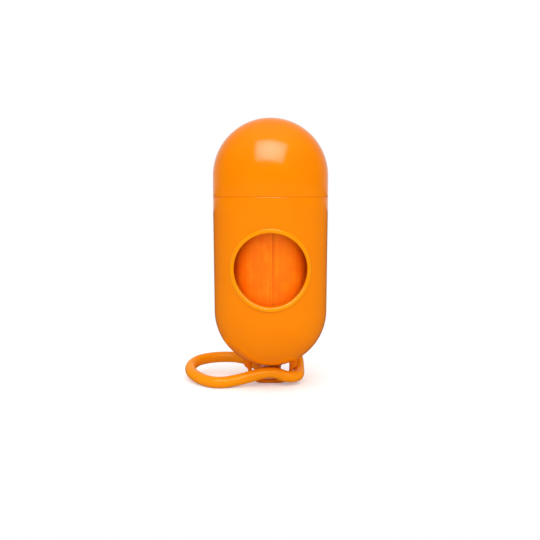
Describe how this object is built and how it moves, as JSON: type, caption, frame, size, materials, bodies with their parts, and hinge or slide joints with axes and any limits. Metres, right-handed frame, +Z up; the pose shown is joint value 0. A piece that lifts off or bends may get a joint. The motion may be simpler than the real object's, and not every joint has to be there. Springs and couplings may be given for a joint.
{
  "type": "dog poop bag dispenser",
  "caption": "Pocket capsule in two push-fit shells that holds a roll of bags, drawn through a round front window, with a rubber figure-eight strap to hang it from a lead.",
  "frame": {"origin": "middle of the bail's flat foot, on the surface that the dispenser stands on", "axes": "+Z up along the capsule's axis from the bail to the cap, -Y out through the window, +X to the right of someone who looks at the window"},
  "size_m": [0.0514, 0.0405, 0.0931],
  "materials": {
    "shell_plastic": "smooth moulded, satin gloss",
    "soft_rubber": "smooth moulded, low sheen",
    "bag_film": "matte thin film",
    "core_card": "plain wound card"
  },
  "bodies": {
    "housing": {"body_shell": "shell_plastic", "window_rim": "soft_rubber", "loop_strap": "soft_rubber"},
    "cap": {"cap_shell": "shell_plastic"},
    "roll": {"roll_core": "core_card", "bag_roll": "bag_film", "lead_bag": "bag_film"}
  },
  "joints": [
    {"name": "cap_lift", "type": "slide", "parent": "housing", "child": "cap", "axis": [0, 0, 1], "range_m": [0, 0.03]},
    {"name": "roll_spin", "type": "hinge", "parent": "housing", "child": "roll", "pos_m": [0, 0, 0.04], "axis": [0, 0, 1], "continuous": true}
  ]
}
